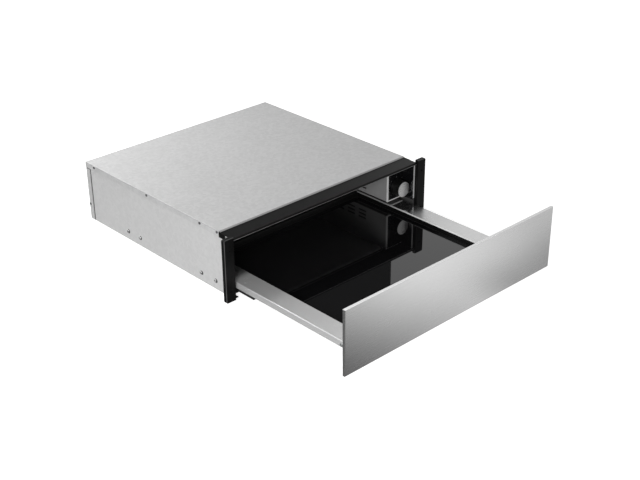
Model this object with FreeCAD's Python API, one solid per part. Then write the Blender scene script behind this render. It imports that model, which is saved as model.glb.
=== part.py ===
import FreeCAD, Part
import math
import os

from FreeCAD import Vector

# Built-in warming drawer, in millimetres.
# Origin: on the floor of the niche, midway between the sides, in the plane where the
# fixing flanges seat on the cabinet's front edges.  +X right, -Y out of the niche, +Z up.
# The drawer is modelled pulled out to its stops.

# ---------------------------------------------------------------- casing
casing_width = 530.0        # over the outer faces of the side walls
casing_height = 140.0       # niche floor to the top of the cover
casing_depth = 508.0        # flange seat to the rear face
casing_sheet = 1.0          # galvanised sheet
bend_radius = 0.6           # inside radius of every folded edge
wall_fold = 12.0            # folded edges along the top and bottom of a side wall
cover_front = 37.0          # front edge of the silver cover, behind the flange seat
cover_skirt = 12.7          # depth of the cover's turned-down edges
cover_lip_reach = 4.0       # sloping lip in front of the cover
cover_lip_drop = 1.1
rear_wrap = 15.0            # how far the rear panel wraps on to the side walls
base_lip = 6.3              # turned-up front and rear edges of the base
vent_length = 34.0
vent_height = 4.0
vent_pitch = 9.0
vent_rows = 4
vent_foot = 60.0

# ---------------------------------------------------------------- black front frame
frame_sheet = 1.2
flange_reach = 23.5         # flange beyond the side wall
flange_depth = 9.0          # flange box in front of its seat
flange_corner = 4.0         # rounded outer corners, seen from the front
flange_edge_radius = 1.2    # pressed edges round the flange's face
flange_foot = 2.0           # flange bottom above the niche floor
flange_rise = 3.0           # flange top above the top of the cover
flange_leg = 14.0           # leg lying on the outside of the side wall
fixing_hole_radius = 2.25
fixing_hole_inset = 24.0    # hole centres from the ends of the flange
sleeve_radius = 4.5         # spacer behind each hole, so that the screw can't crush the flange
strip_front = 4.0           # front edge of the top strip, ahead of the seat
strip_rear_drop = 2.2       # strip below the top of the cover, at its rear
strip_front_drop = 3.0      # and at its front
strip_face = 6.0            # height of the strip's front face
strip_return = 7.0          # lip behind the bottom of that face
strip_tongue = 14.0         # part of the strip that lies under the cover
tab_length = 19.0           # black tab on the side wall at each end of the strip
tab_height = 11.0
sill_setback = 14.0         # front of the sill behind the seat
sill_height = 9.2
sill_width = 12.0
cheek_thickness = 1.5       # glossy trim on the side wall, in the mouth
cheek_foot = 45.0
hem_width = 4.0             # bright front fold of the side wall

# ---------------------------------------------------------------- drawer front
panel_width = 594.0
panel_height = 140.0
panel_thickness = 6.0
panel_skin = 1.0
panel_foot = 1.0            # bottom of the front above the niche floor
panel_corner = 1.2
backing_clearance = 0.3
closed_gap = 2.0            # between the front and the flanges when shut
drawer_travel = 335.0

# ---------------------------------------------------------------- tray
deck_height = 38.4          # top of the flat side rails
deck_width = 45.0
rail_clearance = 5.0        # rail to the inside of the side wall
rail_skirt = 13.4           # outer face of a side rail
tray_sheet = 1.0
rail_bevel = 2.0            # sloping edge between a rail's flat top and its inner drop
tray_rear_gap = 6.0         # tray to the latch when shut
front_rail_width = 20.0     # flat top of the cross rail behind the drawer front
rear_rail_width = 8.0       # and of the one at the rear
glass_recess = 11.9         # glass below the deck
glass_thickness = 4.0
shelf_width = 13.0          # ledge that carries the glass
seal_width = 1.5
seal_rise = 0.8             # seal above the glass
pan_floor = 12.0            # underside of the tray pan

# ---------------------------------------------------------------- runners
runner_centre = 20.4        # height of the runners' centre line
runner_height = 27.0
runner_depth = 12.0
runner_sheet = 1.2
runner_lip = 2.0
runner_rear_gap = 30.0      # fixed member to the rear panel
runner_setback = 27.0       # front of the fixed member behind the seat
middle_shortfall = 120.0    # middle member shorter than the fixed one
middle_reach = 45.0         # middle member ahead of the seat when open
ball_diameter = 2.6
ball_clearance = 0.3
balls_per_row = 3
cage_sheet = 0.6
cage_clearance = 0.3
cage_margin = 6.0
outer_cage_length = 220.0
outer_cage_setback = 18.0   # behind the front of the fixed member, drawer open
inner_cage_length = 150.0
inner_cage_setback = 7.0    # behind the front of the middle member, drawer open
runner_stand_off = 4.0      # fixed member from the inside of the rail's skirt
bracket_sheet = 1.5
bracket_height = 22.0

# ---------------------------------------------------------------- control duct
duct_width = 51.0
duct_floor = 44.0           # underside of the duct above the niche floor
duct_front = 34.0           # front of the fascia behind the seat
duct_rear_gap = 7.0
duct_top_gap = 11.2         # duct top below the top of the cover
duct_fold = 12.0
fascia_thickness = 3.0
trim_side = 4.0
trim_foot = 2.5
louvre_length = 24.0
louvre_height = 4.0
louvre_rows = 3
louvre_row_pitch = 9.0
louvre_pitch = 36.0
louvre_start = 66.0         # first louvre behind the fascia

# ---------------------------------------------------------------- knob and thermostat
knob_offset_x = 29.5        # knob axis from the duct's inner side
knob_offset_z = 29.7        # and above the duct's underside
knob_radius = 18.0
knob_depth = 22.0
knob_skirt_radius = 19.2
knob_skirt_depth = 4.0
knob_wall = 2.0
knob_gap = 1.0              # behind the skirt
cap_thickness = 1.0
cap_radius = 17.6
dot_radius = 1.3
dot_offset = 12.1
shaft_radius = 3.0
running_clearance = 0.05
thermostat_radius = 18.5
thermostat_depth = 22.0

# ---------------------------------------------------------------- fan and heater
fan_position = 226.0        # fan axis behind the fascia
fan_radius = 31.0
fan_width = 14.0
fan_blades = 12
fan_side_gap = 4.0
fan_shaft_radius = 2.0
motor_size = 44.0
motor_depth = 22.0
element_radius = 3.2
element_spacing = 34.0
element_rear_gap = 44.0     # hairpin to the rear end of the duct
element_start = 272.0       # heater bracket behind the fascia

# ---------------------------------------------------------------- latch, liners, fixings
latch_width = 30.0
latch_height = 14.0
latch_length = 29.0
latch_centre = 30.0
latch_stroke = 10.0
plunger_radius = 5.0
seat_gap = 0.3              # free space at a stop or beside a soft pad
liner_sheet = 0.8
liner_foot = 42.0
liner_inset = 14.0          # left liner from the side wall
rear_liner_inset = 29.0     # rear liner from the rear panel
gland_bore = 4.5
gland_radius = 10.0
gland_length = 12.0
gland_height = 70.0
screw_radius = 3.0
screw_head = 1.4
rivet_radius = 3.3
rivet_head = 1.2
buffer_radius = 4.0

# ---------------------------------------------------------------- small features
hem_overlap = 14.0          # flat of a wall or cover that runs into a front fold
hem_foot = 3.0
tab_slant = 5.0             # cut corner of the tabs on the side walls
liner_front = 49.0
liner_rise = 5.0
louvre_foot = 10.0          # lowest row of slots above the duct floor
bush_clearance = 1.0
cage_arm = 7.6
cage_bend = 0.3
bracket_foot = 34.0
bracket_arm = 62.0
adjuster_setback = 42.0     # bolt behind the drawer front
adjuster_height = 30.5
adjuster_radius = 3.6
adjuster_head = 2.0
head_crown = 0.6            # top of a screw head as a share of its radius
head_sides = 16
neck_clearance = 0.1
ball_sides = 8
ball_ring_low = 22.0        # latitudes of a ball's rings, in degrees
ball_ring_high = 66.0
cover_screw_drop = 4.0      # screws below the top of the cover
runner_screw_inset = 30.0
runner_screw_middle = 220.0
inner_setback = 16.0        # drawer member behind the drawer front
rear_screw_height = 38.0
rear_screw_inset = 5.0
rivet_setbacks = [29.6, 76.3, 290.0, 334.0]     # behind the front of the runners
cover_screw_setbacks = [5.2, 59.9, 240.2]        # behind the front of the cover
cover_screw_rear = 34.5
base_screw_pitch = 180.0
vent_inner = 100.0
vent_outer = 150.0
base_screw_height = 5.5
rear_foot = 2.0
rear_wrap_top = 125.0
gland_neck_radius = 8.0
gland_flange = 2.0
gland_boss = 9.0
gland_boss_radius = 7.5
hub_radius = 5.0
shaft_engagement = 14.0
spade_offset = 8.0
spade_length = 8.0
spade_width = 6.3
spade_sheet = 0.8
capillary_radius = 0.9
capillary_drop = 10.0
bulb_setback = 70.0
bulb_radius = 3.0
bulb_length = 60.0
terminal_setback = 44.0
terminal_width = 34.0
terminal_depth = 22.0
terminal_height = 18.0
terminal_pitch = 10.0
terminal_well = 3.3
mount_foot = 14.0
motor_corner = 4.0
fan_boss_radius = 8.0
fan_hub_radius = 6.0
fan_eye = 17.0              # inner ends of the blades
blade_sheet = 1.2
element_tail = 12.0
element_margin = 10.0
glass_corner = 3.0
latch_wall = 3.0
plunger_nose = 2.0
strike_width = 24.0
strike_sheet = 1.2

# ---------------------------------------------------------------- worked out from the above
half_width = casing_width / 2
wall_outside = half_width - casing_sheet
wall_inside = wall_outside - casing_sheet
cover_underside = casing_height - casing_sheet
rear_inside = casing_depth - casing_sheet
skirt_foot = casing_height - cover_skirt
wall_front_top = casing_height - strip_front_drop - frame_sheet
strip_rear = cover_front - cover_lip_reach

panel_back = -flange_depth - closed_gap - drawer_travel
rear_liner_front = rear_inside - rear_liner_inset
tray_rear_closed = rear_liner_front - tray_rear_gap
tray_rear = tray_rear_closed - drawer_travel
rail_outside = wall_inside - rail_clearance
rail_inside = rail_outside - deck_width
glass_top = deck_height - glass_recess
shelf_top = glass_top - glass_thickness
seal_outside = rail_inside - bend_radius - neck_clearance

web_face = rail_outside - tray_sheet - runner_stand_off
middle_web_gap = cage_sheet + 2 * cage_clearance
ball_gap = ball_diameter + 2 * ball_clearance
middle_web = web_face - runner_sheet - middle_web_gap
middle_half = runner_height / 2 - runner_sheet - ball_gap
inner_half = middle_half - runner_sheet - ball_gap
inner_web = web_face - runner_depth - runner_sheet / 2
runner_length = rear_inside - runner_rear_gap - runner_setback
middle_length = runner_length - middle_shortfall
middle_front = -middle_reach
middle_rear = middle_front + middle_length
inner_front = panel_back + inner_setback
inner_rear = inner_front + runner_length
outer_cage_front = runner_setback + outer_cage_setback
inner_cage_front = middle_front + inner_cage_setback

duct_side = wall_inside - duct_width
duct_top = casing_height - duct_top_gap
duct_rear = rear_inside - duct_rear_gap
fascia_back = duct_front + fascia_thickness
knob_x = duct_side + knob_offset_x
knob_z = duct_floor + knob_offset_z
flange_edge = half_width + flange_reach
flange_hole_x = (half_width + flange_edge) / 2
liner_face = wall_inside - liner_inset
rivet_places = [runner_setback + setback for setback in rivet_setbacks]
cover_screw_places = [cover_front + setback for setback in cover_screw_setbacks]
cover_screw_places.append(casing_depth - cover_screw_rear)
cover_screw_height = casing_height - cover_screw_drop
rear_screw_place = casing_depth - rear_screw_inset
base_screw_places = [-base_screw_pitch, 0, base_screw_pitch]
vent_columns = [-vent_outer, -vent_inner, vent_inner, vent_outer]
flange_hole_heights = [flange_foot + fixing_hole_inset, casing_height - fixing_hole_inset]
buffer_heights = [flange_foot + fixing_hole_inset / 2, casing_height - fixing_hole_inset / 2]
fan_y = duct_front + fan_position
fan_z = (duct_floor + duct_top) / 2
fan_plate = duct_side + casing_sheet + fan_side_gap + fan_width + fan_side_gap
element_x = (duct_side + wall_inside) / 2
element_y = duct_front + element_start
element_length = duct_rear - element_rear_gap - element_y
seal_front = panel_back + front_rail_width + bend_radius + neck_clearance
seal_rear = tray_rear - rear_rail_width - bend_radius - neck_clearance
runner_screw_places = [inner_front + runner_screw_inset, inner_front + runner_screw_middle,
                       inner_rear - runner_screw_inset]
adjuster_places = [panel_back + adjuster_setback]


# ---------------------------------------------------------------- tools
def box(x, y, z):
    """Block between the low and high values given for each axis."""
    block = Part.makeBox(x[1] - x[0], y[1] - y[0], z[1] - z[0])
    block.translate(Vector(x[0], y[0], z[0]))
    return block


def rod(centre, direction, radius, length):
    """Cylinder that starts at centre and runs along direction."""
    return Part.makeCylinder(radius, length, Vector(*centre), Vector(*direction))


def join(shapes):
    """One clean solid out of shapes that meet."""
    body = shapes[0]
    for shape in shapes[1:]:
        body = body.fuse(shape)
    return body.removeSplitter()


def mirrored(shape):
    """The left-hand twin of a right-hand piece."""
    return shape.mirror(Vector(0, 0, 0), Vector(1, 0, 0))


def place(plane, start, u, v):
    """Point of a flat outline: plane names its two axes, start is the third coordinate."""
    if plane == "xz":
        return Vector(u, start, v)
    if plane == "xy":
        return Vector(u, v, start)
    return Vector(start, u, v)


def sweep_vector(plane, length):
    """Direction in which an outline of that plane is extruded."""
    if plane == "xz":
        return Vector(0, length, 0)
    if plane == "xy":
        return Vector(0, 0, length)
    return Vector(length, 0, 0)


def directions(path):
    """Unit vectors of the runs of a path."""
    result = []
    for (u0, v0), (u1, v1) in zip(path, path[1:]):
        length = math.hypot(u1 - u0, v1 - v0)
        result.append(((u1 - u0) / length, (v1 - v0) / length))
    return result


def offset_path(path, distance):
    """Path moved sideways, to the left of its travel, with mitred corners."""
    runs = directions(path)
    moved = []
    for index, (u, v) in enumerate(path):
        before = runs[max(index - 1, 0)]
        after = runs[min(index, len(runs) - 1)]
        share = 1 + before[0] * after[0] + before[1] * after[1]
        moved.append((u - (before[1] + after[1]) * distance / share,
                      v + (before[0] + after[0]) * distance / share))
    return moved


def rounded_edges(path, radii, plane, start):
    """Edges along a path, with an arc of the given radius at each inner corner."""
    runs = directions(path)
    edges = []
    cursor = place(plane, start, *path[0])
    for index in range(1, len(path) - 1):
        before = runs[index - 1]
        after = runs[index]
        turn = math.acos(max(-1.0, min(1.0, before[0] * after[0] + before[1] * after[1])))
        radius = radii[index - 1]
        reach = radius * math.tan(turn / 2)
        u, v = path[index]
        first = place(plane, start, u - before[0] * reach, v - before[1] * reach)
        last = place(plane, start, u + after[0] * reach, v + after[1] * reach)
        inward = (after[0] - before[0], after[1] - before[1])
        size = math.hypot(*inward)
        depth = radius / math.cos(turn / 2) - radius
        middle = place(plane, start, u + inward[0] / size * depth, v + inward[1] / size * depth)
        edges.append(Part.makeLine(cursor, first))
        edges.append(Part.Arc(first, middle, last).toShape())
        cursor = last
    edges.append(Part.makeLine(cursor, place(plane, start, *path[-1])))
    return edges


def folded(path, sheet, plane, span, bend=bend_radius):
    """Folded sheet: path is one face of the metal, which lies to the left of it."""
    other = offset_path(path, sheet)
    runs = directions(path)
    near = []
    far = []
    for before, after in zip(runs, runs[1:]):
        left_turn = before[0] * after[1] - before[1] * after[0] > 0
        near.append(bend + sheet if left_turn else bend)
        far.append(bend if left_turn else bend + sheet)
    outer = rounded_edges(path, near, plane, span[0])
    inner = rounded_edges(other, far, plane, span[0])
    caps = [Part.makeLine(place(plane, span[0], *path[0]), place(plane, span[0], *other[0])),
            Part.makeLine(place(plane, span[0], *path[-1]), place(plane, span[0], *other[-1]))]
    wire = Part.Wire(Part.__sortEdges__(outer + inner + caps))
    return Part.Face(wire).extrude(sweep_vector(plane, span[1] - span[0]))


def outline(points, plane, span):
    """Straight-sided outline, extruded."""
    corners = [place(plane, span[0], u, v) for u, v in points]
    face = Part.Face(Part.makePolygon(corners + corners[:1]))
    return face.extrude(sweep_vector(plane, span[1] - span[0]))


def head(centre, direction, radius, height):
    """Screw or rivet head: a low many-sided cone that stands on a face."""
    start = Vector(*centre)
    way = Vector(*direction)
    side = way.cross(Vector(0, 0, 1)).normalize()
    rim = many_sided(start, way, side, radius)
    crown = many_sided(start + way * height, way, side, radius * head_crown)
    return Part.makeLoft([rim, crown], True, True)


def many_sided(centre, way, side, radius):
    """Closed outline of a small round part, with few sides."""
    across = way.cross(side)
    corners = []
    for index in range(head_sides):
        angle = 2 * math.pi * index / head_sides
        corners.append(centre + side * (radius * math.cos(angle))
                       + across * (radius * math.sin(angle)))
    return Part.makePolygon(corners + corners[:1])


nodes = {}


def both_sides(name, shape):
    """Enter a right-hand piece and its left-hand twin."""
    nodes["right_" + name] = shape
    nodes["left_" + name] = mirrored(shape)


def group(shapes):
    """Separate solids that share a node."""
    return Part.makeCompound(shapes)


# ---------------------------------------------------------------- casing
def side_wall():
    """Galvanised wall with folded long edges and a narrow bright fold at the mouth."""
    fold = wall_inside - wall_fold
    path = [(fold, 0), (wall_outside, 0), (wall_outside, cover_underside), (fold, cover_underside)]
    wall = folded(path, casing_sheet, "xz", (0, rear_inside - bend_radius))
    wall = wall.cut(box((0, wall_inside), (0, strip_rear + strip_tongue),
                        (skirt_foot, casing_height)))
    wall = wall.cut(box((0, half_width), (0, cover_front), (wall_front_top, casing_height)))
    hem = folded([(wall_outside - hem_width, -casing_sheet), (wall_outside, -casing_sheet),
                  (wall_outside, hem_overlap)], casing_sheet, "xy", (hem_foot, wall_front_top))
    return join([wall, hem])


def casing_base():
    """Floor pan, turned up behind the sill and in front of the rear panel."""
    front = sill_setback + frame_sheet
    top = casing_sheet + base_lip
    path = [(front, top), (front, casing_sheet), (rear_inside, casing_sheet), (rear_inside, top)]
    half = wall_inside - bend_radius
    return folded(path, casing_sheet, "yz", (-half, half))


def top_cover():
    """Lid with turned-down sides and a short sloping lip at the front."""
    path = [(half_width, skirt_foot), (half_width, casing_height),
            (-half_width, casing_height), (-half_width, skirt_foot)]
    lid = folded(path, casing_sheet, "xz", (cover_front, casing_depth))
    lip = folded([(cover_front + hem_overlap, casing_height), (cover_front, casing_height),
                  (strip_rear, casing_height - cover_lip_drop)],
                 casing_sheet, "yz", (-wall_outside, wall_outside))
    return join([lid, lip])


def rear_panel():
    """Rear sheet that wraps on to both side walls, with slots and the cable hole."""
    path = [(half_width, casing_depth - rear_wrap), (half_width, casing_depth),
            (-half_width, casing_depth), (-half_width, casing_depth - rear_wrap)]
    wrap = folded(path, casing_sheet, "xy", (rear_foot, rear_wrap_top))
    sheet = box((-wall_outside, wall_outside), (rear_inside, casing_depth),
                (rear_foot, cover_underside))
    panel = join([wrap, sheet])
    for row in range(vent_rows):
        for x in vent_columns:
            low = vent_foot + row * vent_pitch
            panel = panel.cut(box((x - vent_length / 2, x + vent_length / 2),
                                  (rear_inside, casing_depth), (low, low + vent_height)))
    return panel.cut(rod((knob_x, rear_inside, gland_height), (0, 1, 0),
                         gland_neck_radius, casing_sheet))


# ---------------------------------------------------------------- black front frame
def strip_top(y):
    """Height of the strip's sloping top at a given depth."""
    slope = (strip_front_drop - strip_rear_drop) / (strip_rear + strip_front)
    return casing_height - strip_rear_drop - (strip_rear - y) * slope


def front_top_bar():
    """Folded black strip across the mouth, with a tab on each side wall."""
    top = casing_height - strip_front_drop
    tongue_end = strip_rear + strip_tongue
    rear_top = casing_height - strip_rear_drop
    path = [(tongue_end, rear_top), (strip_rear, rear_top), (-strip_front, top),
            (-strip_front, top - strip_face), (strip_return - strip_front, top - strip_face)]
    bar = folded(path, frame_sheet, "yz", (-wall_outside, wall_outside))
    side_room = box((wall_inside - bracket_sheet - seat_gap, half_width),
                    (strip_rear + cover_lip_reach, casing_depth), (0, casing_height))
    bar = bar.cut(side_room).cut(mirrored(side_room))
    under_front = box((wall_outside - hem_width - seat_gap, half_width),
                      (-casing_sheet - seat_gap, casing_depth), (0, wall_front_top))
    bar = bar.cut(under_front).cut(mirrored(under_front))
    rear = cover_front - seat_gap
    front = rear - tab_length
    foot = casing_height - strip_rear_drop - tab_height
    tab = outline([(rear, rear_top), (strip_rear, rear_top), (front, strip_top(front)),
                   (front, foot + tab_slant), (front + tab_slant, foot), (rear, foot)],
                  "yz", (wall_outside, wall_outside + frame_sheet))
    return join([bar, tab, mirrored(tab)])


def fixing_flange():
    """Black pressed flange, hollow behind, that screws to the front edge of the cabinet."""
    skin = flange_room(0)
    face_edges = [edge for edge in skin.Edges if lies_in_front(edge)]
    skin = skin.makeFillet(flange_edge_radius, face_edges)
    flange = skin.cut(flange_room(frame_sheet))
    leg = box((wall_outside, wall_outside + frame_sheet),
              (-frame_sheet, flange_leg - flange_depth),
              (flange_foot + flange_corner, casing_height - flange_corner))
    sleeves = [rod((flange_hole_x, frame_sheet - flange_depth, z), (0, 1, 0),
                   sleeve_radius, flange_depth - frame_sheet) for z in flange_hole_heights]
    flange = join([flange, leg] + sleeves)
    for z in flange_hole_heights:
        flange = flange.cut(rod((flange_hole_x, -flange_depth, z), (0, 1, 0),
                                fixing_hole_radius, flange_depth))
    return flange


def flange_room(inset):
    """Block of the flange in front of its seat, inset by a sheet or not, open to the seat."""
    room = box((wall_outside + inset, flange_edge - inset), (inset - flange_depth, 0),
               (flange_foot + inset, casing_height + flange_rise - inset))
    corners = [edge for edge in room.Edges if is_outer_corner(edge)]
    return room.makeFillet(flange_corner - inset, corners)


def is_outer_corner(edge):
    """True for the flange's outer edges that run front to back."""
    first = edge.Vertexes[0].Point
    last = edge.Vertexes[-1].Point
    along_y = abs(first.y - last.y) > flange_depth / 2
    return along_y and min(first.x, last.x) > half_width + flange_reach / 2


def lies_in_front(edge):
    """True for edges round the flange's face."""
    return all(abs(vertex.Point.y + flange_depth) < frame_sheet / 2 for vertex in edge.Vertexes)


def front_sill():
    """Low black plate across the bottom of the mouth."""
    path = [(sill_setback + sill_width, sill_height), (sill_setback, sill_height),
            (sill_setback, casing_sheet)]
    return folded(path, frame_sheet, "yz", (-wall_inside, wall_inside))


# ---------------------------------------------------------------- casing fixings
def both(shapes):
    """The shapes and their left-hand twins."""
    return shapes + [mirrored(shape) for shape in shapes]


def cover_screws():
    """Screws through the cover's skirts."""
    heads = [head((half_width, y, cover_screw_height), (1, 0, 0), screw_radius, screw_head)
             for y in cover_screw_places]
    return group(both(heads))


def rear_panel_screws():
    """One screw on each wrap and three along the bottom of the rear panel."""
    heads = both([head((half_width, rear_screw_place, rear_screw_height), (1, 0, 0),
                       screw_radius, screw_head)])
    for x in base_screw_places:
        heads.append(head((x, casing_depth, base_screw_height), (0, 1, 0),
                          screw_radius, screw_head))
    return group(heads)


def runner_rivets():
    """Rivets through the side walls into the runner brackets."""
    heads = [head((wall_outside, y, runner_centre), (1, 0, 0), rivet_radius, rivet_head)
             for y in rivet_places]
    return group(both(heads))


# ---------------------------------------------------------------- heated cavity
def cavity_ceiling():
    """Liner under the cover, folded up at the front and the left."""
    top = duct_top - liner_sheet
    path = [(liner_front, duct_top + liner_rise), (liner_front, top), (rear_liner_front, top)]
    return folded(path, liner_sheet, "yz", (-liner_face, duct_side))


def cavity_left_liner():
    """Upright liner with a foot folded towards the side wall."""
    top = duct_top - liner_sheet
    path = [(-wall_inside, liner_foot), (-liner_face, liner_foot), (-liner_face, top)]
    return folded(path, liner_sheet, "xz", (liner_front, rear_liner_front))


def cavity_rear_liner():
    """Rear liner with a foot folded towards the rear panel."""
    path = [(rear_liner_front, duct_top), (rear_liner_front, liner_foot),
            (rear_inside, liner_foot)]
    return folded(path, liner_sheet, "yz", (-liner_face - liner_sheet, duct_side - liner_sheet))


def cavity_insulation():
    """Three mineral-wool pads: above the ceiling, beside and behind the cavity."""
    clear = seat_gap
    top = box((-liner_face, duct_side), (liner_front + liner_sheet + bend_radius, rear_liner_front),
              (duct_top + clear / 2, cover_underside - casing_sheet - clear))
    side = box((-wall_inside + clear, -liner_face - liner_sheet - clear / 2),
               (liner_front + clear, rear_liner_front - clear),
               (liner_foot + liner_sheet + bend_radius, duct_top - clear))
    rear = box((-liner_face, duct_side - hem_width),
               (rear_liner_front + liner_sheet + clear / 2, rear_inside - clear),
               (liner_foot + liner_sheet + bend_radius, duct_top - clear))
    return group([top, side, rear])


# ---------------------------------------------------------------- control duct
def control_housing():
    """Folded duct along the right wall with bright lips round the fascia and air slots."""
    path = [(wall_inside, duct_top), (duct_side, duct_top), (duct_side, duct_floor),
            (wall_inside, duct_floor), (wall_inside, duct_floor + duct_fold)]
    duct = folded(path, casing_sheet, "xz", (duct_front, duct_rear))
    side_lip = box((duct_side, duct_side + trim_side), (duct_front, duct_front + casing_sheet),
                   (duct_floor, duct_top))
    foot_lip = box((duct_side, wall_inside), (duct_front, duct_front + casing_sheet),
                   (duct_floor, duct_floor + trim_foot))
    duct = join([duct, side_lip, foot_lip])
    y = duct_front + louvre_start
    while y < duct_rear - louvre_length:
        for row in range(louvre_rows):
            z = duct_floor + louvre_foot + row * louvre_row_pitch
            duct = duct.cut(box((duct_side, duct_side + casing_sheet), (y, y + louvre_length),
                                (z, z + louvre_height)))
        y += louvre_pitch
    return duct


def control_fascia():
    """Glossy black front of the duct, with the hole for the thermostat shaft."""
    fit = running_clearance
    plate = box((duct_side + trim_side + fit, wall_inside - casing_sheet - fit), (duct_front, fascia_back),
                (duct_floor + trim_foot + fit, duct_top - casing_sheet - fit))
    bush = rod((knob_x, duct_front, knob_z), (0, 1, 0), shaft_radius + bush_clearance,
               fascia_thickness)
    return plate.cut(bush)


def control_side_cheek():
    """Glossy black trim on the side wall, between the mouth and the fascia."""
    front = casing_sheet
    cheek = box((wall_inside - cheek_thickness, wall_inside), (front, duct_front - seat_gap),
                (cheek_foot, wall_front_top - strip_face))
    return cheek


def thermostat_body():
    """Round capillary thermostat on the back of the fascia, with its spade terminals."""
    case = rod((knob_x, fascia_back, knob_z), (0, 1, 0), thermostat_radius, thermostat_depth)
    back = fascia_back + thermostat_depth
    spades = [box((knob_x + side * spade_offset, knob_x + side * spade_offset + spade_sheet),
                  (back, back + spade_length), (knob_z, knob_z + spade_width))
              for side in (-1, 1)]
    bore = rod((knob_x, fascia_back, knob_z), (0, 1, 0), shaft_radius + running_clearance,
               shaft_engagement)
    return join([case] + spades).cut(bore)


def sensor_bulb():
    """Temperature bulb on the duct floor with the capillary that feeds the thermostat."""
    start = fascia_back + thermostat_depth
    x = knob_x
    z = knob_z - capillary_drop
    tube = rod((x, start, z), (0, 1, 0), capillary_radius, bulb_setback)
    bulb = rod((x, start + bulb_setback, z), (0, 1, 0), bulb_radius, bulb_length)
    clip = outline([(x - bulb_radius, duct_floor + casing_sheet),
                    (x + bulb_radius, duct_floor + casing_sheet),
                    (x + capillary_radius, z), (x - capillary_radius, z)],
                   "xz", (start + bulb_setback, start + bulb_setback + spade_width))
    return join([tube, bulb, clip])


def terminal_block():
    """Insulating mains block with a recess over each of its three clamps."""
    floor = duct_floor + casing_sheet
    start = duct_rear - terminal_setback
    block = box((knob_x - terminal_width / 2, knob_x + terminal_width / 2),
                (start, start + terminal_depth), (floor, floor + terminal_height))
    well = terminal_well
    for side in (-1, 0, 1):
        x = knob_x + side * terminal_pitch
        y = start + terminal_depth / 2
        block = block.cut(box((x - well, x + well), (y - well, y + well),
                              (floor + terminal_height / 2, floor + terminal_height)))
    return block


def cable_gland():
    """Hollow gland in the rear panel: neck through the sheet, flange outside, nut inside."""
    turned = [(gland_neck_radius - neck_clearance, -gland_length),
              (gland_neck_radius - neck_clearance, 0), (gland_radius, 0),
              (gland_radius, gland_flange), (gland_boss_radius, gland_flange),
              (gland_boss_radius, gland_boss), (gland_bore, gland_boss),
              (gland_bore, -gland_length)]
    corners = [Vector(radius, depth, 0) for radius, depth in turned]
    face = Part.Face(Part.makePolygon(corners + corners[:1]))
    gland = face.revolve(Vector(0, 0, 0), Vector(0, 1, 0), 360)
    gland.translate(Vector(knob_x, casing_depth, gland_height))
    return gland


# ---------------------------------------------------------------- knob
def knob_body():
    """Moulded cup that hides the shaft, with a wider skirt next to the fascia."""
    front = duct_front - knob_gap - knob_depth + cap_thickness
    rear = duct_front - knob_gap
    cup = rod((knob_x, front, knob_z), (0, 1, 0), knob_radius, rear - front)
    skirt = rod((knob_x, rear - knob_skirt_depth, knob_z), (0, 1, 0), knob_skirt_radius,
                knob_skirt_depth)
    hollow = rod((knob_x, front + knob_wall, knob_z), (0, 1, 0), knob_radius - knob_wall,
                 rear - front)
    hub = rod((knob_x, front, knob_z), (0, 1, 0), hub_radius, rear - front)
    bore = rod((knob_x, front + knob_wall, knob_z), (0, 1, 0), shaft_radius, rear - front)
    return join([join([cup, skirt]).cut(hollow), hub]).cut(bore)


def knob_disc():
    """Brushed metal face of the knob, pierced by the pointer dot."""
    front = duct_front - knob_gap - knob_depth
    disc = rod((knob_x, front, knob_z), (0, 1, 0), cap_radius, cap_thickness)
    return disc.cut(rod((knob_x, front, knob_z + dot_offset), (0, 1, 0), dot_radius,
                        cap_thickness))


def thermostat_shaft():
    """Shaft between the knob and the thermostat."""
    front = duct_front - knob_gap - knob_depth + cap_thickness + knob_wall
    rear = fascia_back + shaft_engagement - seat_gap
    return rod((knob_x, front, knob_z), (0, 1, 0), shaft_radius, rear - front)


# ---------------------------------------------------------------- fan and heater
def fan_mount():
    """Plate across the duct that carries the motor, folded at the duct floor."""
    floor = duct_floor + casing_sheet
    path = [(fan_plate + mount_foot, floor), (fan_plate, floor), (fan_plate, duct_top - casing_sheet)]
    path = path[::-1]
    plate = folded(path, bracket_sheet, "xz", (fan_y - fan_radius, fan_y + fan_radius))
    return plate.cut(rod((fan_plate, fan_y, fan_z), (1, 0, 0), fan_boss_radius, bracket_sheet))


def fan_motor():
    """Shaded-pole motor: square stator, round boss and the shaft the impeller runs on."""
    start = fan_plate + bracket_sheet
    half = motor_size / 2
    stator = box((start, start + motor_depth), (fan_y - half, fan_y + half),
                 (fan_z - half, fan_z + half))
    edges = [edge for edge in stator.Edges
             if abs(edge.Vertexes[0].Point.x - edge.Vertexes[-1].Point.x) > motor_depth / 2]
    stator = stator.makeFillet(motor_corner, edges)
    shaft_end = duct_side + casing_sheet + fan_side_gap
    shaft = rod((shaft_end, fan_y, fan_z), (1, 0, 0), fan_shaft_radius, start - shaft_end)
    return join([stator, shaft])


def fan_impeller():
    """Open centrifugal wheel: back disc, hub and straight blades."""
    start = duct_side + casing_sheet + fan_side_gap
    back = start + fan_width - blade_sheet
    disc = rod((back, fan_y, fan_z), (1, 0, 0), fan_radius, blade_sheet)
    hub = rod((start, fan_y, fan_z), (1, 0, 0), fan_hub_radius, fan_width)
    parts = [disc, hub]
    for index in range(fan_blades):
        blade = box((start, back), (-blade_sheet / 2, blade_sheet / 2), (fan_eye, fan_radius - blade_sheet))
        blade.rotate(Vector(0, 0, 0), Vector(1, 0, 0), index * 360 / fan_blades)
        blade.translate(Vector(0, fan_y, fan_z))
        parts.append(blade)
    wheel = join(parts)
    return wheel.cut(rod((start, fan_y, fan_z), (1, 0, 0), fan_shaft_radius + running_clearance,
                         fan_width))


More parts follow.
